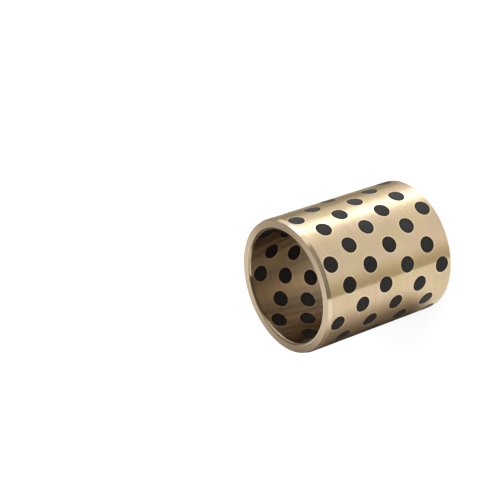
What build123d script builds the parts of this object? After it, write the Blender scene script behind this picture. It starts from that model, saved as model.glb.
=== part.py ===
from build123d import *
import os
from math import radians, tan

# Graphite plugged bushing.  A plain bronze sleeve is drilled through its wall, a plug of solid
# graphite lubricant is glued into each hole, and both are then turned together, so that every
# plug ends flush with the outside of the sleeve and flush with its bore.
#
# Frame: millimetres, +Z along the bore, towards the end with the lead-in taper.  The origin is the
# centre of the foot, the flat end face that the bushing stands on.

# Driving dimensions of the sleeve.
bore_diameter = 55.0
wall = 5.0                  # from the bore to the outside
length = 75.0
lead_in_length = 2.0        # taper on the outside of the upper end, which starts it in a housing
lead_in_angle = 15.0        # degrees between that taper and the axis
foot_chamfer = 0.8          # 45 degree break of the outside edge at the foot
bore_chamfer = 0.8          # 45 degree break of the bore's edge at both ends

# Driving dimensions of the plugs.  They stand in rings round the sleeve, and each ring is turned
# against the one below it, so that the plugs also stand in lines along the axis.
plug_diameter = 7.6
glue_line = 0.03            # radial gap between a plug and its hole, filled by the glue
end_margin = 6.3            # from each end face to the middle of the nearest ring
ring_count = 10
plugs_per_ring = 7
lines_per_plug = 5          # lines along the axis in the space from one plug to the next
lines_per_turn = 2          # lines by which each ring is turned against the ring below it

# Sizes that follow from them.
bore_radius = bore_diameter / 2
outside_radius = bore_radius + wall
lead_in_depth = lead_in_length * tan(radians(lead_in_angle))
hole_diameter = plug_diameter + 2 * glue_line
ring_pitch = (length - 2 * end_margin) / (ring_count - 1)
line_count = plugs_per_ring * lines_per_plug
line_angle = 360 / line_count


def turned_sleeve():
    """The sleeve as turned, with its end faces, taper and chamfers but without its holes."""
    section = Polyline(
        (bore_radius + bore_chamfer, 0),
        (outside_radius - foot_chamfer, 0),
        (outside_radius, foot_chamfer),
        (outside_radius, length - lead_in_length),
        (outside_radius - lead_in_depth, length),
        (bore_radius + bore_chamfer, length),
        (bore_radius, length - bore_chamfer),
        (bore_radius, bore_chamfer),
        close=True,
    )
    return revolve(Plane.XZ * make_face(section), Axis.Z)


def radial_rod(diameter, ring, line):
    """A round rod that stands out radially through the wall, centred on one plug."""
    rod = Pos(bore_radius + wall / 2, 0, 0) * Rot(0, 90, 0) * Cylinder(diameter / 2, 3 * wall)
    return Pos(0, 0, end_margin + ring * ring_pitch) * Rot(0, 0, line * line_angle) * rod


def rings_on_line(line):
    """The rings that have a plug on the given line, from the foot upwards."""
    return [ring for ring in range(ring_count) if (line - ring * lines_per_turn) % lines_per_plug == 0]


def drilled_sleeve(turned):
    """The sleeve with one through hole for every plug."""
    holes = [
        radial_rod(hole_diameter, ring, line)
        for line in range(line_count)
        for ring in rings_on_line(line)
    ]
    return turned - holes


def plugs_on_line(turned, line):
    """The separate plugs of one line along the axis, their ends turned to the sleeve's surfaces."""
    plugs = [radial_rod(plug_diameter, ring, line) & turned for ring in rings_on_line(line)]
    return Compound([solid for plug in plugs for solid in plug.solids()])


def save(shape, node):
    export_step(shape, f"parts/{node}.step")


os.makedirs("parts", exist_ok=True)
turned = turned_sleeve()
save(drilled_sleeve(turned), "bronze_sleeve")
for line in range(line_count):
    save(plugs_on_line(turned, line), f"graphite_plugs_line_{line + 1:02d}")
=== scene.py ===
"""Looks of the graphite plugged bushing: a turned bronze sleeve with flush graphite plugs.

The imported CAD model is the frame.  Its sleeve and its plugs are each replaced by a finer mesh of
the same size and place, with the small edge breaks that catch the light.  Metres, +Z up the bore.
"""
import math

import bpy
import numpy as np
from mathutils import Matrix, Vector
from mathutils.geometry import delaunay_2d_cdt


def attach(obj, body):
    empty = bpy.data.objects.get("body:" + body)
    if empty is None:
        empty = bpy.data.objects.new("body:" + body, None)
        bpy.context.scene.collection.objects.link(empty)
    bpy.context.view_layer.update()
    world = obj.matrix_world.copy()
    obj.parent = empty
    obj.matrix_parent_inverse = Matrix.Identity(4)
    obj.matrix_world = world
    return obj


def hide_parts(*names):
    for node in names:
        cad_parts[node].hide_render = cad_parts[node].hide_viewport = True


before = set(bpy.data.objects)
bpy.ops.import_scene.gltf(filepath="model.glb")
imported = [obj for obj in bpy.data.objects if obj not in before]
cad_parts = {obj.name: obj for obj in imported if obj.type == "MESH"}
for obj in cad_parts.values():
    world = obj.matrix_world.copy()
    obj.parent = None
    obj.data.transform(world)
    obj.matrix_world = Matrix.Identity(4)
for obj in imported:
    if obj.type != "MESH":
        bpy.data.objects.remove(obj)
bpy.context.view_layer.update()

MM = 0.001

# The sleeve, as in the CAD model (millimetres).
BORE_RADIUS = 27.5
OUTSIDE_RADIUS = 32.5
LENGTH = 75.0
LEAD_IN_LENGTH = 2.0
LEAD_IN_DEPTH = LEAD_IN_LENGTH * math.tan(math.radians(15))
FOOT_CHAMFER = 0.8
BORE_CHAMFER = 0.8

# The plugs, as in the CAD model (millimetres).
HOLE_RADIUS = 3.83
PLUG_RADIUS = 3.8
END_MARGIN = 6.3
RING_COUNT = 10
PLUGS_PER_RING = 7
LINES_PER_PLUG = 5
LINES_PER_TURN = 2
LINE_COUNT = PLUGS_PER_RING * LINES_PER_PLUG
LINE_ANGLE = 2 * math.pi / LINE_COUNT
RING_PITCH = (LENGTH - 2 * END_MARGIN) / (RING_COUNT - 1)

# Detail that only the looks have (millimetres).
TURNED_ROUND = 0.10         # how far the rounding of a turned corner reaches along its sides
MOUTH_ROUND = 0.45          # the same at the bore's edges, which are broken by hand
HOLE_BREAK = 0.12           # break of a hole's edge, outside and in the bore
PLUG_BREAK = 0.10           # break of a plug's edge
PLUG_RECESS = 0.02          # a plug stands this much under the metal

# How fine the meshes are.
AROUND = 420                # steps round the sleeve
HOLE_STEPS = 60             # steps round a hole
WALL_STEP = 1.3             # millimetres between the points of a wall
BAND_WIDTH = 0.25           # millimetres from a hole's break to the end of its burnished band
FADE_WIDTH = 0.8            # the same to where the burnish has faded out
CLEAR_WIDTH = 1.5           # the same to the first of the wall's own points
PLUG_RINGS = ((0.9, 0.0), (1.9, 0.0), (2.6, 0.0), (3.1, 0.6))   # radius and edge mask on an end

# How pale each plug is, from 0 to 1: a part falls with its height, which is painted light that makes
# the plugs near the foot paler; the rest is drawn at random.
PAINTED_LIGHT_BY_HEIGHT = 0.35
TONES = np.random.default_rng(144522)

# Colours (linear red, green and blue, and 1 for solid).
BRONZE_GOLDEN = (0.690, 0.560, 0.358, 1.0)
BRONZE_PINK = (0.714, 0.552, 0.412, 1.0)
BRONZE_BURNISHED = (0.830, 0.690, 0.510, 1.0)
BRONZE_FILMED = (0.660, 0.575, 0.465, 1.0)      # in the bore, under a film of graphite
GRAPHITE_DARK = (0.0026, 0.0025, 0.0026, 1.0)
GRAPHITE_PALE = (0.0285, 0.0285, 0.0305, 1.0)
GRAPHITE_FLAKE = (0.060, 0.060, 0.065, 1.0)
# Painted shade: a darker brown ring round each plug's edge, where the gap round the plug shades it.
GRAPHITE_RIM_SHADE = (0.0130, 0.0050, 0.0008, 1.0)
# Painted shade in the pores of the graphite.
GRAPHITE_PORE_SHADE = (0.002, 0.002, 0.002, 1.0)
WHITE = (1.0, 1.0, 1.0, 1.0)

# The dark opening's sharp side: the directions whose part along this azimuth has this length.
SIDE_AZIMUTH = math.radians(-8.3)
SIDE_OFFSET = -0.319
SIDE_BLUR = 0.005

# The photograph's camera (metres), from a fit to the plugs and the end face.
CAMERA_PLACE = Vector((0.138903, -0.591398, 0.469379))
CAMERA_RIGHT = Vector((-0.20759, -0.55226, -0.80741))
CAMERA_UP = Vector((0.96554, 0.01675, -0.25971))
CAMERA_LENS = 117.025       # millimetres, on a sensor 36 mm wide


def add_object(name, data):
    """A new object in the scene, at the origin."""
    thing = bpy.data.objects.new(name, data)
    bpy.context.scene.collection.objects.link(thing)
    return thing


# ---------------------------------------------------------------------------------------- meshes

def unit(v):
    return v / np.linalg.norm(v, axis=-1, keepdims=True)


def on_cylinder(azimuth, height, radius):
    azimuth, height, radius = np.broadcast_arrays(azimuth, height, radius)
    return np.stack([radius * np.cos(azimuth), radius * np.sin(azimuth), height], -1)


def lattice():
    """Azimuth, height and line of every plug."""
    return [(line * LINE_ANGLE, END_MARGIN + ring * RING_PITCH, line)
            for line in range(LINE_COUNT) for ring in range(RING_COUNT)
            if (line - LINES_PER_TURN * ring) % LINES_PER_PLUG == 0]


def hole_ring(azimuth, height, rho, radius):
    """The circle in which a radial hole of radius rho meets the cylinder of that radius."""
    turn = np.arange(HOLE_STEPS) * 2 * math.pi / HOLE_STEPS
    return azimuth + np.arcsin(rho * np.cos(turn) / radius), height + rho * np.sin(turn)


def hole_axis(azimuth):
    """The outward direction of a radial hole."""
    return np.array([math.cos(azimuth), math.sin(azimuth), 0.0])


class Patches:
    """A mesh made of patches.  A corner takes its normal from its own patch, and corners in the
    same place share one vertex, so the mesh is closed and its shading is exact."""

    def __init__(self):
        self.points, self.normals, self.masks, self.tones = [], [], [], []
        self.faces, self.count, self.tone = [], 0, 0.0

    def add(self, points, normals, faces, mask=0.0):
        points = np.asarray(points, float).reshape(-1, 3)
        self.points.append(points)
        self.normals.append(unit(np.broadcast_to(normals, points.shape).astype(float)))
        self.masks.append(np.broadcast_to(mask, len(points)).astype(float))
        self.tones.append(np.full(len(points), self.tone))
        self.faces += [tuple(int(i) + self.count for i in face) for face in faces]
        self.count += len(points)

    def strip(self, first, second, first_normals, second_normals, first_mask=0.0, second_mask=0.0):
        """A closed band of quads from one ring of points to another."""
        n = len(first)
        quads = [(i, (i + 1) % n, n + (i + 1) % n, n + i) for i in range(n)]
        self.add(np.concatenate([first, second]),
                 np.concatenate([np.broadcast_to(first_normals, first.shape),
                                 np.broadcast_to(second_normals, second.shape)]),
                 quads,
                 np.concatenate([np.broadcast_to(first_mask, n), np.broadcast_to(second_mask, n)]))

    def build(self, name):
        points, normals = np.concatenate(self.points), np.concatenate(self.normals)
        masks, tones = np.concatenate(self.masks), np.concatenate(self.tones)
        keys = np.round(points / 1e-5).astype(np.int64)
        _, first, back = np.unique(keys, axis=0, return_index=True, return_inverse=True)
        back = back.reshape(-1)
        faces, corner_normals, used = [], [], []
        for face in self.faces:
            ring = [back[i] for i in face]
            if len(set(ring)) < len(ring):
                continue
            a, b, c = (points[face[k]] for k in (0, 1, 2))
            if np.dot(np.cross(b - a, c - a), normals[list(face)].sum(0)) < 0:
                face = face[::-1]
            faces.append([int(back[i]) for i in face])
            corner_normals += [normals[i] for i in face]
            used += face
        mesh = bpy.data.meshes.new(name)
        mesh.from_pydata((points[first] * MM).tolist(), [], faces)
        mesh.update()
        mesh.polygons.foreach_set("use_smooth", [True] * len(mesh.polygons))
        mesh.normals_split_custom_set(np.array(corner_normals).tolist())
        for label, values in (("edge", masks), ("tone", tones)):
            layer = mesh.attributes.new(label, "FLOAT", "CORNER")
            layer.data.foreach_set("value", values[used].astype(np.float32))
        return add_object(name, mesh)


def wall_patch(patches, radius, low, high, outward):
    """The round wall between two heights, with every hole left open."""
    end_gap, overlap = 0.1, 0.002
    hole_r = HOLE_RADIUS + HOLE_BREAK
    plugs = lattice()
    azimuths, heights, masks, fixed = [], [], [], []

    def ring(phi, z, mask, closed):
        start = sum(len(a) for a in azimuths)
        if not closed:
            inner = (z > low + end_gap) & (z < high - end_gap)
            phi, z = phi[inner], z[inner]
        azimuths.append(np.broadcast_to(phi, np.broadcast(phi, z).shape).astype(float))
        heights.append(np.broadcast_to(z, np.broadcast(phi, z).shape).astype(float))
        masks.append(np.full(azimuths[-1].shape, float(mask)))
        n = len(azimuths[-1])
        if closed:
            fixed.append([start + k for k in range(n)])

    around = np.arange(AROUND) * 2 * math.pi / AROUND
    ring(around, np.full(AROUND, low), 0.0, True)
    ring(around, np.full(AROUND, high), 0.0, True)
    for azimuth, height, _ in plugs:
        phi, z = hole_ring(azimuth, height, hole_r, radius)
        ring(phi, z, 1.0, True)
        phi, z = hole_ring(azimuth, height, hole_r + BAND_WIDTH, radius)
        ring(phi, z, 1.0, False)
        phi, z = hole_ring(azimuth, height, hole_r + FADE_WIDTH, radius)
        ring(phi[::2], z[::2], 0.0, False)
    rows = int((high - low) / WALL_STEP)
    columns = int(2 * math.pi * radius / WALL_STEP)
    zs = low + np.arange(1, rows) * (high - low) / rows
    phi, z = np.meshgrid(np.arange(columns) * 2 * math.pi / columns, zs)
    phi = phi + (np.arange(rows - 1) % 2)[:, None] * math.pi / columns
    phi, z = phi.ravel(), z.ravel()
    keep = np.ones(len(phi), bool)
    for azimuth, height, _ in plugs:
        off = radius * np.sin((phi - azimuth + math.pi) % (2 * math.pi) - math.pi)
        facing = np.cos(phi - azimuth) > 0
        keep &= ~(facing & (np.hypot(off, z - height) < hole_r + CLEAR_WIDTH))
    ring(phi[keep], z[keep], 0.0, False)
    phi, z, mask = np.concatenate(azimuths), np.concatenate(heights), np.concatenate(masks)

    # A conformal map of the wall to a flat annulus, so that the triangulation needs no seam.
    scale = np.exp((z - low) / radius)
    flat = [Vector((s * math.cos(a), s * math.sin(a))) for s, a in zip(scale, phi)]
    edges = [(loop[k], loop[(k + 1) % len(loop)]) for loop in fixed for k in range(len(loop))]
    out = delaunay_2d_cdt(flat, edges, [], 0, 1e-7, True)
    verts, tris, origin = out[0], out[2], out[3]
    assert len(verts) == len(flat), "the wall's points met each other"
    order = np.array([o[0] for o in origin])
    phi, z, mask = phi[order], z[order], mask[order]
    corners = np.array(tris)
    middle = on_cylinder(phi[corners], z[corners], radius).mean(1)
    middle_phi = np.arctan2(middle[:, 1], middle[:, 0])
    flat_xy = np.array([tuple(v) for v in verts])[corners].mean(1)
    inside = np.hypot(flat_xy[:, 0], flat_xy[:, 1]) > np.cos(math.pi / AROUND)
    for azimuth, height, _ in plugs:
        off = radius * np.sin(middle_phi - azimuth)
        facing = np.cos(middle_phi - azimuth) > 0
        inside &= ~(facing & (np.hypot(off, middle[:, 2] - height) < hole_r - overlap))
    normals = on_cylinder(phi, 0.0, 1.0) * (1 if outward else -1)
    patches.add(on_cylinder(phi, z, radius), normals, corners[inside], mask)


def revolve(patches, profile):
    """Bands round the axis that join the points of a profile: (radius, height), normal, mask."""
    around = np.arange(AROUND) * 2 * math.pi / AROUND
    for (p, p_normal, p_mask), (q, q_normal, q_mask) in zip(profile, profile[1:]):
        patches.strip(on_cylinder(around, p[1], p[0]), on_cylinder(around, q[1], q[0]),
                      on_cylinder(around, p_normal[1], p_normal[0]),
                      on_cylinder(around, q_normal[1], q_normal[0]), p_mask, q_mask)


def rounded(corners):
    """Rounds a profile's inner corners.  A corner is (radius, height, how far its rounding reaches
    along both sides).  Gives points with normals, and mask 1 at each rounding.  The profile runs
    with the metal on its left."""
    places = [np.array(c[:2], float) for c in corners]
    runs = [unit(b - a) for a, b in zip(places, places[1:])]
    sides = [np.array([d[1], -d[0]]) for d in runs]
    out = [(places[0], sides[0], 0.0)]
    for k in range(1, len(places) - 1):
        reach = corners[k][2]
        steps = 6 if reach > 0.2 else 3
        a, b = places[k] - runs[k - 1] * reach, places[k] + runs[k] * reach
        for t in np.linspace(0.0, 1.0, steps):
            p = (1 - t) ** 2 * a + 2 * t * (1 - t) * places[k] + t ** 2 * b
            out.append((p, unit((1 - t) * sides[k - 1] + t * sides[k]), 1.0))
    out.append((places[-1], sides[-1], 0.0))
    return out


def make_sleeve():
    """The sleeve, closed: both ends, both walls, and every hole with its broken edges."""
    patches = Patches()
    outside_inset, bore_inset = 0.15, 0.55
    top = [(OUTSIDE_RADIUS, LENGTH - LEAD_IN_LENGTH - outside_inset),
           (OUTSIDE_RADIUS, LENGTH - LEAD_IN_LENGTH, TURNED_ROUND),
           (OUTSIDE_RADIUS - LEAD_IN_DEPTH, LENGTH, TURNED_ROUND),
           (BORE_RADIUS + BORE_CHAMFER, LENGTH, MOUTH_ROUND),
           (BORE_RADIUS, LENGTH - BORE_CHAMFER, MOUTH_ROUND),
           (BORE_RADIUS, LENGTH - BORE_CHAMFER - bore_inset)]
    foot = [(BORE_RADIUS, BORE_CHAMFER + bore_inset),
            (BORE_RADIUS, BORE_CHAMFER, MOUTH_ROUND),
            (BORE_RADIUS + BORE_CHAMFER, 0.0, MOUTH_ROUND),
            (OUTSIDE_RADIUS - FOOT_CHAMFER, 0.0, TURNED_ROUND),
            (OUTSIDE_RADIUS, FOOT_CHAMFER, TURNED_ROUND),
            (OUTSIDE_RADIUS, FOOT_CHAMFER + outside_inset)]
    for corners in (top, foot):
        revolve(patches, rounded(corners))
    wall_patch(patches, OUTSIDE_RADIUS, foot[-1][1], top[0][1], True)
    wall_patch(patches, BORE_RADIUS, foot[0][1], top[-1][1], False)
    wide = HOLE_RADIUS + HOLE_BREAK
    for azimuth, height, _ in lattice():
        axis = hole_axis(azimuth)
        rings = []
        for rho, radius in ((wide, OUTSIDE_RADIUS), (HOLE_RADIUS, OUTSIDE_RADIUS - HOLE_BREAK),
                            (HOLE_RADIUS, BORE_RADIUS + HOLE_BREAK), (wide, BORE_RADIUS)):
            phi, z = hole_ring(azimuth, height, rho, radius)
            rings.append((on_cylinder(phi, z, radius), on_cylinder(phi, 0.0, 1.0)))
        turn = np.arange(HOLE_STEPS) * 2 * math.pi / HOLE_STEPS
        side = np.array([-axis[1], axis[0], 0.0])
        inward = -(np.cos(turn)[:, None] * side + np.sin(turn)[:, None] * np.array([0, 0, 1.0]))
        patches.strip(rings[0][0], rings[1][0], rings[0][1], inward, 1.0, 1.0)
        patches.strip(rings[1][0], rings[2][0], inward, inward)
        patches.strip(rings[2][0], rings[3][0], inward, -rings[3][1], 1.0, 1.0)
    return patches.build("Bronze_sleeve")


def make_plugs(line, members):
    """The plugs on one line of the sleeve, each closed, with ends that follow both walls."""
    patches = Patches()
    levels = (*PLUG_RINGS, (PLUG_RADIUS - PLUG_BREAK, 1.0))
    turn = np.arange(HOLE_STEPS) * 2 * math.pi / HOLE_STEPS
    fan = [(0, 1 + k, 1 + (k + 1) % HOLE_STEPS) for k in range(HOLE_STEPS)]
    for azimuth, height in members:
        # Painted light: plugs nearer the foot are paler; the drawn part is each plug's own tone.
        patches.tone = (PAINTED_LIGHT_BY_HEIGHT * (1 - height / LENGTH)
                        + (1 - PAINTED_LIGHT_BY_HEIGHT) * TONES.random())
        axis = hole_axis(azimuth)
        side = np.array([-axis[1], axis[0], 0.0])
        out = np.cos(turn)[:, None] * side + np.sin(turn)[:, None] * np.array([0, 0, 1.0])
        rims = []
        for radius, sign in ((OUTSIDE_RADIUS - PLUG_RECESS, 1), (BORE_RADIUS + PLUG_RECESS, -1)):
            ring, normals, mask = None, None, 0.0
            for rho, wider_mask in levels:
                phi, z = hole_ring(azimuth, height, rho, radius)
                wider = on_cylinder(phi, z, radius)
                wider_normals = on_cylinder(phi, 0.0, 1.0) * sign
                if ring is None:
                    centre = on_cylinder(azimuth, height, radius)
                    patches.add(np.concatenate([centre[None], wider]),
                                np.concatenate([axis[None] * sign, wider_normals]), fan)
                else:
                    patches.strip(ring, wider, normals, wider_normals, mask, wider_mask)
                ring, normals, mask = wider, wider_normals, wider_mask
            phi, z = hole_ring(azimuth, height, PLUG_RADIUS, radius - sign * PLUG_BREAK)
            rim = on_cylinder(phi, z, radius - sign * PLUG_BREAK)
            patches.strip(ring, rim, normals, out, 1.0, 1.0)
            rims.append(rim)
        patches.strip(rims[0], rims[1], out, out, 1.0, 1.0)
    return patches.build("Graphite_plugs_%02d" % (line + 1))


# ------------------------------------------------------------------------------------- materials

class Nodes:
    """Shorthands for building a node tree, which start it empty."""

    def __init__(self, tree):
        self.tree = tree
        self.tree.nodes.clear()

    def new(self, kind, inputs=None, **settings):
        node = self.tree.nodes.new(kind)
        for key, value in settings.items():
            setattr(node, key, value)
        for key, value in (inputs or {}).items():
            self.put(node, key, value)
        return node

    def put(self, node, key, value):
        socket = node.inputs[key]
        if key in ("A", "B") and node.type == "MIX":
            socket = [x for x in node.inputs if x.name == key and x.type == node.data_type][0]
        if isinstance(value, bpy.types.NodeSocket):
            self.tree.links.new(value, socket)
        elif isinstance(value, bpy.types.Node):
            self.tree.links.new(value.outputs[0], socket)
        else:
            socket.default_value = value

    def math(self, operation, *values, clamp=False):
        node = self.new("ShaderNodeMath", operation=operation, use_clamp=clamp)
        for k, value in enumerate(values):
            self.put(node, k, value)
        return node.outputs[0]


def new_material(name):
    """A new material, and its empty node tree."""
    material = bpy.data.materials.new(name)
    material.use_nodes = True
    return material, Nodes(material.node_tree)


def turned_place(n):
    """Object coordinates in millimetres: the point, its x and y, a field for turning marks, and
    its distance from the axis.

    A mark is constant round the axis.  It varies along the wall, and outward across an end face."""
    metres = n.new("ShaderNodeTexCoord").outputs["Object"]
    point = n.new("ShaderNodeVectorMath", {0: metres, "Scale": 1000.0}, operation="SCALE").outputs[0]
    split = n.new("ShaderNodeSeparateXYZ", {0: point})
    x, y, z = split.outputs
    radius = n.math("SQRT", n.math("ADD", n.math("MULTIPLY", x, x), n.math("MULTIPLY", y, y)))
    along = n.math("ADD", z, radius)
    return point, x, y, along, radius


def turned_noise(n, place, around, along, detail=2.0):
    """Noise drawn out round the axis, in features per millimetre round and along it."""
    _, x, y, run, _ = place
    vector = n.new("ShaderNodeCombineXYZ", {
        0: n.math("MULTIPLY", x, around), 1: n.math("MULTIPLY", y, around),
        2: n.math("MULTIPLY", run, along)})
    return n.new("ShaderNodeTexNoise", {"Vector": vector, "Scale": 1.0, "Detail": detail}).outputs[0]


def noise(n, place, scale, detail=2.0):
    """Plain noise, in features per millimetre."""
    return n.new("ShaderNodeTexNoise", {
        "Vector": place[0], "Scale": scale, "Detail": detail}).outputs[0]


def spread(n, value, low, high, from_low=0.3, from_high=0.7):
    """Maps a noise value, which mostly lies between 0.3 and 0.7, to a range."""
    return n.new("ShaderNodeMapRange", {
        "Value": value, "From Min": from_low, "From Max": from_high, "To Min": low,
        "To Max": high}).outputs[0]


def blend(n, factor, first, second, kind="MIX"):
    node = n.new("ShaderNodeMix", {"Factor": factor, "A": first, "B": second},
                 data_type="RGBA", blend_type=kind)
    return node.outputs["Result"]


def grey(n, value):
    return n.new("ShaderNodeCombineColor", {0: value, 1: value, 2: value}).outputs[0]


def attribute(n, name):
    """A number that the mesh carries at its corners: see Patches.build."""
    return n.new("ShaderNodeAttribute", attribute_name=name).outputs["Fac"]


def turned_normal(n, tangent, slope):
    """The surface's normal, tipped by a slope across the turning marks."""
    normal = n.new("ShaderNodeNewGeometry").outputs["Normal"]
    across = n.new("ShaderNodeVectorMath", {0: normal, 1: tangent}, operation="CROSS_PRODUCT")
    tip = n.new("ShaderNodeVectorMath", {0: across, "Scale": slope}, operation="SCALE")
    tipped = n.new("ShaderNodeVectorMath", {0: normal, 1: tip})
    return n.new("ShaderNodeVectorMath", {0: tipped}, operation="NORMALIZE").outputs[0]


def bronze_material():
    """Turned cast bronze: fine marks round the axis, soft bands of tone, cast patches of pinker
    and more golden metal, and paler burnished edges."""
    material, n = new_material("Bronze_turned")
    place = turned_place(n)
    edge = attribute(n, "edge")
    marks = turned_noise(n, place, 0.04, 7.0, 1.0)
    lines = turned_noise(n, place, 0.05, 1.6, 2.0)
    bands = turned_noise(n, place, 0.03, 0.35, 1.0)
    patches = noise(n, place, 0.09, 3.0)
    grain = noise(n, place, 2.2, 3.0)

    metal = blend(n, spread(n, patches, 0.0, 1.0, 0.38, 0.62), BRONZE_GOLDEN, BRONZE_PINK)
    tone = n.math("MULTIPLY", spread(n, bands, 0.96, 1.04), spread(n, lines, 0.975, 1.025))
    tone = n.math("MULTIPLY", tone, spread(n, noise(n, place, 0.055, 2.0), 0.95, 1.05))
    tone = n.math("MULTIPLY", tone, spread(n, grain, 0.975, 1.025))
    metal = blend(n, 1.0, metal, grey(n, tone), "MULTIPLY")
    in_bore = n.math("LESS_THAN", place[4], BORE_RADIUS + 0.1)
    metal = blend(n, n.math("MULTIPLY", in_bore, 0.45), metal, BRONZE_FILMED)
    metal = blend(n, n.math("MULTIPLY", edge, 0.9), metal, BRONZE_BURNISHED)

    rough = n.math("ADD", spread(n, lines, -0.015, 0.015), spread(n, bands, 0.195, 0.225))
    rough = n.math("ADD", rough, spread(n, patches, -0.010, 0.010))
    rough = n.math("MULTIPLY_ADD", in_bore, 0.02, rough)
    tangent = n.new("ShaderNodeTangent", direction_type="RADIAL", axis="Z").outputs[0]
    slope = n.math("ADD", spread(n, marks, -0.05, 0.05), spread(n, lines, -0.02, 0.02))
    slope = n.math("MULTIPLY", slope, n.math("MULTIPLY_ADD", in_bore, -0.5, 1.0))
    bump = n.new("ShaderNodeBump", {
        "Strength": 1.0, "Distance": MM, "Height": n.math("MULTIPLY", grain, 0.0006),
        "Normal": turned_normal(n, tangent, slope)})
    shader = n.new("ShaderNodeBsdfPrincipled", {
        "Base Color": metal, "Metallic": 1.0, "Roughness": rough, "Normal": bump,
        "Anisotropic": 1.0, "Anisotropic Rotation": 0.25, "Tangent": tangent})
    n.new("ShaderNodeOutputMaterial", {"Surface": shader})
    return material


def graphite_material():
    """Pressed graphite turned with the sleeve: fine turning lines and grain, a few pale flakes,
    small pores darkened with painted shade, and a darker brown ring of painted shade round each
    plug's edge, where the gap round the plug shades it.  A plug's tone is partly drawn at random and
    partly painted light that makes the plugs near the foot paler."""
    material, n = new_material("Graphite")
    place = turned_place(n)
    edge, tone = attribute(n, "edge"), attribute(n, "tone")
    lines = turned_noise(n, place, 0.35, 3.2, 2.0)
    grain = noise(n, place, 5.0, 3.0)
    clouds = noise(n, place, 0.45, 2.0)
    cells = n.new("ShaderNodeTexVoronoi", {"Vector": place[0], "Scale": 1.6})
    flakes = n.new("ShaderNodeTexVoronoi", {"Vector": place[0], "Scale": 2.6})
    pore = spread(n, cells.outputs["Distance"], 1.0, 0.0, 0.10, 0.20)
    flake = n.math("MULTIPLY", spread(n, flakes.outputs["Distance"], 1.0, 0.0, 0.16, 0.30),
                   n.math("GREATER_THAN", flakes.outputs["Color"], 0.72))

    # Each plug's tone: drawn at random, plus painted light that makes the plugs near the foot paler.
    ink = blend(n, tone, GRAPHITE_DARK, GRAPHITE_PALE)
    shade = n.math("MULTIPLY", spread(n, lines, 0.70, 1.30), spread(n, grain, 0.70, 1.30))
    shade = n.math("MULTIPLY", shade, spread(n, clouds, 0.75, 1.25))
    ink = blend(n, 1.0, ink, grey(n, shade), "MULTIPLY")
    ink = blend(n, n.math("MULTIPLY", flake, 0.35), ink, GRAPHITE_FLAKE)
    # Painted shade: a darker ring at each plug's edge.
    ink = blend(n, n.math("MULTIPLY", edge, 0.8), ink, GRAPHITE_RIM_SHADE)
    # Painted shade in the pores.
    ink = blend(n, n.math("MULTIPLY", pore, 0.8), ink, GRAPHITE_PORE_SHADE)

    rough = n.math("ADD", spread(n, lines, 0.45, 0.51), spread(n, clouds, -0.03, 0.03))
    rough = n.math("ADD", rough, n.math("MULTIPLY", pore, 0.25))
    rough = n.math("ADD", rough, n.math("MULTIPLY", edge, 0.10))
    height = n.math("ADD", n.math("MULTIPLY", lines, 0.012), n.math("MULTIPLY", grain, 0.006))
    height = n.math("SUBTRACT", height, n.math("MULTIPLY", pore, 0.02))
    bump = n.new("ShaderNodeBump", {"Strength": 1.0, "Distance": MM, "Height": height})
    shader = n.new("ShaderNodeBsdfPrincipled", {
        "Base Color": ink, "Roughness": rough, "IOR": 1.33, "Normal": bump,
        "Sheen Weight": 0.08, "Sheen Roughness": 0.35})
    n.new("ShaderNodeOutputMaterial", {"Surface": shader})
    return material


# ------------------------------------------------------------------------------ studio and camera

def ramp(n, value, stops, top=2.0):
    """A colour that changes with a value between 0 and top, through the given stops."""
    node = n.new("ShaderNodeValToRGB", {"Fac": n.math("DIVIDE", value, top)})
    elements = node.color_ramp.elements
    while len(elements) < len(stops):
        elements.new(1.0)
    for element, (place, colour) in zip(elements, stops):
        element.position = place / top
        element.color = (*colour, 1.0)
    return node.outputs["Color"]


def ray_is(n, *kinds):
    """1 for rays of any of the given kinds, and 0 for the rest."""
    path = n.new("ShaderNodeLightPath")
    value = path.outputs[kinds[0]]
    for kind in kinds[1:]:
        value = n.math("MAXIMUM", value, path.outputs[kind])
    return value


def make_floor():
    """A plain pale floor.  The camera sees it white, with the object's soft shadow on it, and matt
    surfaces take light from its plain grey."""
    half = 6.0
    mesh = bpy.data.meshes.new("Floor")
    mesh.from_pydata([(-half, -half, 0), (half, -half, 0), (half, half, 0), (-half, half, 0)],
                     [], [(0, 1, 2, 3)])
    floor = add_object("Floor", mesh)
    material, n = new_material("Floor_white")
    plain = n.new("ShaderNodeBsdfDiffuse", {"Color": (0.60, 0.60, 0.60, 1)})
    shadowed = n.new("ShaderNodeBsdfDiffuse", {"Color": (0.25, 0.25, 0.25, 1)})
    glow = n.new("ShaderNodeEmission", {"Color": WHITE, "Strength": 0.85})
    both = n.new("ShaderNodeAddShader", {0: shadowed, 1: glow})
    mixed = n.new("ShaderNodeMixShader", {
        0: ray_is(n, "Is Camera Ray", "Is Glossy Ray", "Is Transmission Ray"), 1: plain, 2: both})
    n.new("ShaderNodeOutputMaterial", {"Surface": mixed})
    mesh.materials.append(material)
    floor.visible_glossy = False


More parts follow.
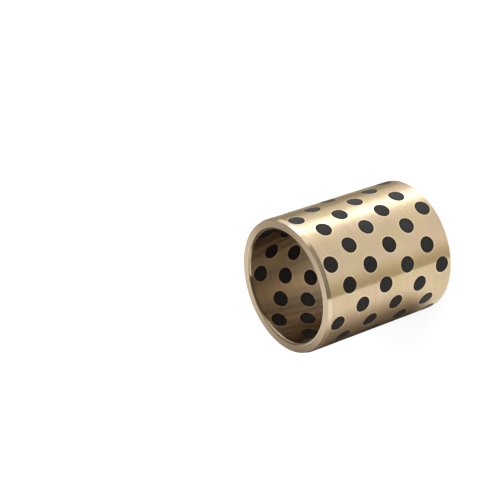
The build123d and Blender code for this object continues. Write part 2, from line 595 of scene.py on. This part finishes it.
def make_floor_in_bore():
    """The floor inside the bore.  It is plain grey, but the bore mirrors it as a warm band of light
    along the lit side, in place of the light that came in through the photographed sleeve."""
    steps, height, lit_side, edge_level = 64, 0.1, math.radians(-72), 0.33
    mesh = bpy.data.meshes.new("Floor_in_bore")
    points = on_cylinder(np.arange(steps) * 2 * math.pi / steps, height, BORE_RADIUS + 0.2) * MM
    mesh.from_pydata(points.tolist(), [], [tuple(range(steps))])
    inner = add_object("Floor_in_bore", mesh)
    material, n = new_material("Floor_in_bore")
    plain = n.new("ShaderNodeBsdfDiffuse", {"Color": (0.75, 0.75, 0.75, 1)})
    point = n.new("ShaderNodeTexCoord").outputs["Object"]
    ahead = n.new("ShaderNodeVectorMath", {
        0: point, 1: (math.cos(lit_side), math.sin(lit_side), 0)}, operation="DOT_PRODUCT")
    aside = n.new("ShaderNodeVectorMath", {
        0: point, 1: (-math.sin(lit_side), math.cos(lit_side), 0)}, operation="DOT_PRODUCT")
    band = n.new("ShaderNodeMapRange", {
        "Value": n.math("ABSOLUTE", aside.outputs["Value"]), "From Min": 0.004, "From Max": 0.024,
        "To Min": 1.0, "To Max": edge_level}, interpolation_type="SMOOTHSTEP").outputs[0]
    level = n.math("MULTIPLY", n.math("MULTIPLY_ADD", ahead.outputs["Value"], 14.6, 0.65), band)
    tint = ramp(n, band, ((edge_level, (0.85, 0.94, 0.96)), (1.0, (1.0, 0.86, 0.68))), 1.0)
    glow = n.new("ShaderNodeEmission", {"Color": tint, "Strength": level})
    mixed = n.new("ShaderNodeMixShader", {0: ray_is(n, "Is Glossy Ray"), 1: plain, 2: glow})
    n.new("ShaderNodeOutputMaterial", {"Surface": mixed})
    mesh.materials.append(material)


def make_shade():
    """A dim sheet beside the sleeve, seen only in what its -X side mirrors.  It stands for the
    shaded table that the photographed sleeve lies on, which is lit again beyond its far end."""
    x, y_low, y_high, z_low, z_high = -0.0347, -0.055, 0.028, -0.012, 0.105
    mesh = bpy.data.meshes.new("Shade")
    mesh.from_pydata([(x, y_low, z_low), (x, y_high, z_low), (x, y_high, z_high),
                      (x, y_low, z_high)], [], [(0, 1, 2, 3)])
    shade = add_object("Shade", mesh)
    material, n = new_material("Shade")
    point = n.new("ShaderNodeVectorMath", {
        0: n.new("ShaderNodeTexCoord").outputs["Object"], "Scale": 1000.0}, operation="SCALE")
    split = n.new("ShaderNodeSeparateXYZ", {0: point})

    def rise(value, start, end):
        """0 up to start millimetres and 1 from end millimetres on."""
        return n.new("ShaderNodeMapRange", {
            "Value": value, "From Min": start, "From Max": end},
            interpolation_type="SMOOTHSTEP").outputs[0]

    # The lit table beyond the far end shows higher up the sheet the further it is toward -Y.
    y, z = split.outputs["Y"], split.outputs["Z"]
    above_lit = n.math("MULTIPLY_ADD", n.math("ADD", y, 10.0), 0.30, z)
    depth = n.math("MULTIPLY", rise(y, -47, -6), n.math("SUBTRACT", 1.0, rise(y, 2, 27)))
    depth = n.math("MULTIPLY", depth, rise(above_lit, -6, 12))
    depth = n.math("MULTIPLY", depth, n.math("SUBTRACT", 1.0, rise(z, 60, 104)))
    left = ramp(n, depth, ((0.0, (1.0, 1.0, 1.0)), (0.12, (0.86, 0.83, 0.81)),
                           (0.37, (0.58, 0.53, 0.49)), (0.72, (0.250, 0.211, 0.183)),
                           (0.88, (0.175, 0.146, 0.124)), (1.0, (0.055, 0.045, 0.037))), 1.0)
    n.new("ShaderNodeOutputMaterial", {
        "Surface": n.new("ShaderNodeBsdfTransparent", {"Color": left})})
    mesh.materials.append(material)
    shade.visible_camera = shade.visible_diffuse = shade.visible_transmission = False
    shade.visible_shadow = shade.visible_volume_scatter = False


def make_world():
    """A pale studio.  Cameras and clear materials see it plain white.  Matt surfaces take a soft
    light from it, more from +X than from -X.  Polished metal mirrors its white walls, the bright
    panel on the +X side, the unlit side opposite and the dark opening toward the camera.  Angles
    are degrees of azimuth and elevation."""
    world = bpy.data.worlds.new("Studio")
    bpy.context.scene.world = world
    world.use_nodes = True
    world.cycles.sampling_method = "NONE"
    n = Nodes(world.node_tree)
    direction = n.new("ShaderNodeTexCoord").outputs["Generated"]
    split = n.new("ShaderNodeSeparateXYZ", {0: direction})
    azimuth = n.math("ARCTAN2", split.outputs["Y"], split.outputs["X"])
    elevation = n.math("ARCSINE", split.outputs["Z"])

    def fade(value, start, end):
        """0 up to start degrees and 1 from end degrees on."""
        return n.new("ShaderNodeMapRange", {
            "Value": value, "From Min": math.radians(start), "From Max": math.radians(end)},
            interpolation_type="SMOOTHSTEP").outputs[0]

    def flip(value):
        return n.math("SUBTRACT", 1.0, value)

    def around(centre, half, soft):
        """1 within half degrees of an azimuth, and 0 soft degrees further on."""
        off = n.math("SUBTRACT", azimuth, math.radians(centre))
        return flip(fade(n.math("ARCCOSINE", n.math("COSINE", off)), half, half + soft))

    def past(centre, start, end):
        """0 to 1 from start to end, in degrees of azimuth from centre, counter-clockwise."""
        off = n.math("SUBTRACT", azimuth, math.radians(centre))
        turned = n.math("ARCTAN2", n.math("SINE", off), n.math("COSINE", off))
        return fade(turned, start, end)

    def toward(azimuth_degrees, elevation_degrees, reach):
        """1 toward a direction, falling to 0 at reach degrees from it."""
        a, e = math.radians(azimuth_degrees), math.radians(elevation_degrees)
        aim = (math.cos(e) * math.cos(a), math.cos(e) * math.sin(a), math.sin(e))
        dot = n.new("ShaderNodeVectorMath", {0: direction, 1: aim}, operation="DOT_PRODUCT")
        return flip(fade(n.math("ARCCOSINE", dot.outputs["Value"]), 0, reach))

    def dim(level, depth, *masks):
        """Takes a share off the light where all the masks are 1."""
        for mask in masks:
            depth = n.math("MULTIPLY", depth, mask)
        return n.math("MULTIPLY", level, flip(depth))

    # The opening's sharp side runs along the sleeve, so the wall mirrors it as a straight line.
    along_side = n.new("ShaderNodeVectorMath", {
        0: direction, 1: (math.cos(SIDE_AZIMUTH), math.sin(SIDE_AZIMUTH), 0.0)},
        operation="DOT_PRODUCT").outputs["Value"]
    edge = n.new("ShaderNodeMapRange", {
        "Value": along_side, "From Min": SIDE_OFFSET - SIDE_BLUR,
        "From Max": SIDE_OFFSET + SIDE_BLUR}, interpolation_type="SMOOTHSTEP").outputs[0]
    edge = n.math("MULTIPLY", edge, past(285, -85, -70))
    low, high = fade(elevation, -25, 25), fade(elevation, 33, 41)

    # A bright window that the end face mirrors.
    level = n.math("ADD", 1.0, n.math("MULTIPLY", toward(109, 48, 15), 3.0))
    # The dark opening, and a half shade at its sharp side that also reaches below it.
    level = dim(level, 0.93, edge, flip(past(285, 40, 54.5)), fade(elevation, -25, -3.5))
    level = dim(level, 0.39, edge, flip(past(285, -44, -9)))
    # The unlit side.
    level = dim(level, 1.0, around(148.5, 32, 17), flip(high), low)
    # Two dim strips next to the panel, which the wall mirrors above its highlight.
    level = dim(level, 0.63, around(62.5, 15, 3))
    level = dim(level, 0.22, around(88, 12, 4), flip(fade(elevation, -15, 5)))
    # Dim parts of the upper walls and the ceiling, for the end face, the taper and the bore.
    level = dim(level, 1.0, toward(54, 40, 45))
    level = dim(level, 0.28, around(60, 30, 20), high)
    level = dim(level, 0.74, toward(109.5, 54, 42))
    level = dim(level, 0.55, around(0, 35, 25), fade(elevation, 12, 26))
    level = dim(level, 0.55, around(214, 30, 20), high)
    level = dim(level, 0.30, around(152, 22, 20), high)
    # The bright panel, which is the highlight along the wall.
    panel = n.math("MULTIPLY", around(7.6, 0.5, 18), flip(fade(elevation, 2, 14)))
    level = n.math("MULTIPLY_ADD", panel, 1.8, level)

    # Low down the light is golden where it is dim, and high up it is pinker.
    warm = ramp(n, level, ((0.10, (1.0, 0.79, 0.58)), (0.40, (1.0, 0.90, 0.65)),
                           (0.75, (1.0, 0.96, 0.73)), (1.00, (1.0, 0.985, 0.90)),
                           (1.30, (1.0, 1.0, 1.0)), (2.00, (0.97, 1.0, 1.0))))
    cool = ramp(n, level, ((0.10, (1.0, 0.87, 0.72)), (0.60, (1.0, 0.935, 0.86)),
                           (1.00, (1.0, 0.965, 0.93)), (1.50, (1.0, 0.985, 0.98))))
    tint = blend(n, fade(elevation, 5, 25), warm, cool)
    mirror = n.new("ShaderNodeBackground", {"Color": tint, "Strength": level})
    white = n.new("ShaderNodeBackground", {"Color": WHITE, "Strength": 1.0})
    soft = n.math("MULTIPLY_ADD", split.outputs["X"], 0.6, 0.65)
    plain = n.new("ShaderNodeBackground", {"Color": WHITE, "Strength": soft})
    seen = n.new("ShaderNodeMixShader", {
        0: ray_is(n, "Is Camera Ray", "Is Transmission Ray"), 1: plain, 2: white})
    mixed = n.new("ShaderNodeMixShader", {0: ray_is(n, "Is Glossy Ray"), 1: seen, 2: mirror})
    n.new("ShaderNodeOutputWorld", {"Surface": mixed})


def make_lamp():
    """One large soft lamp, for matt surfaces and the shadow.  Metal doesn't mirror it."""
    data = bpy.data.lights.new("Key", "AREA")
    data.shape = "DISK"
    data.size = 0.8
    data.energy = 8.0
    lamp = add_object("Key", data)
    lamp.location = (0.55, -0.35, 0.9)
    aim = Vector((0, 0, 0.04)) - lamp.location
    lamp.rotation_euler = aim.to_track_quat("-Z", "Y").to_euler()
    lamp.visible_glossy = False


def make_camera():
    """The photograph's view: from above the upper end, with the part's +X side up."""
    data = bpy.data.cameras.new("Camera")
    data.sensor_width = 36.0
    data.lens = CAMERA_LENS
    data.clip_start, data.clip_end = 0.01, 20.0
    camera = add_object("Camera", data)
    back = CAMERA_RIGHT.cross(CAMERA_UP)
    turn = Matrix((CAMERA_RIGHT, CAMERA_UP, back)).transposed()
    camera.matrix_world = Matrix.Translation(CAMERA_PLACE) @ turn.to_4x4()
    bpy.context.scene.camera = camera


make_camera()
make_world()
make_lamp()
make_floor()
make_floor_in_bore()
make_shade()
bpy.context.scene.view_settings.view_transform = "Standard"

bronze, graphite = bronze_material(), graphite_material()
sleeve = make_sleeve()
sleeve.data.materials.append(bronze)
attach(sleeve, "root")
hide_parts("bronze_sleeve")
for line in range(LINE_COUNT):
    members = [(a, h) for a, h, which in lattice() if which == line]
    plugs = make_plugs(line, members)
    plugs.data.materials.append(graphite)
    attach(plugs, "root")
    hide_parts("graphite_plugs_line_%02d" % (line + 1))
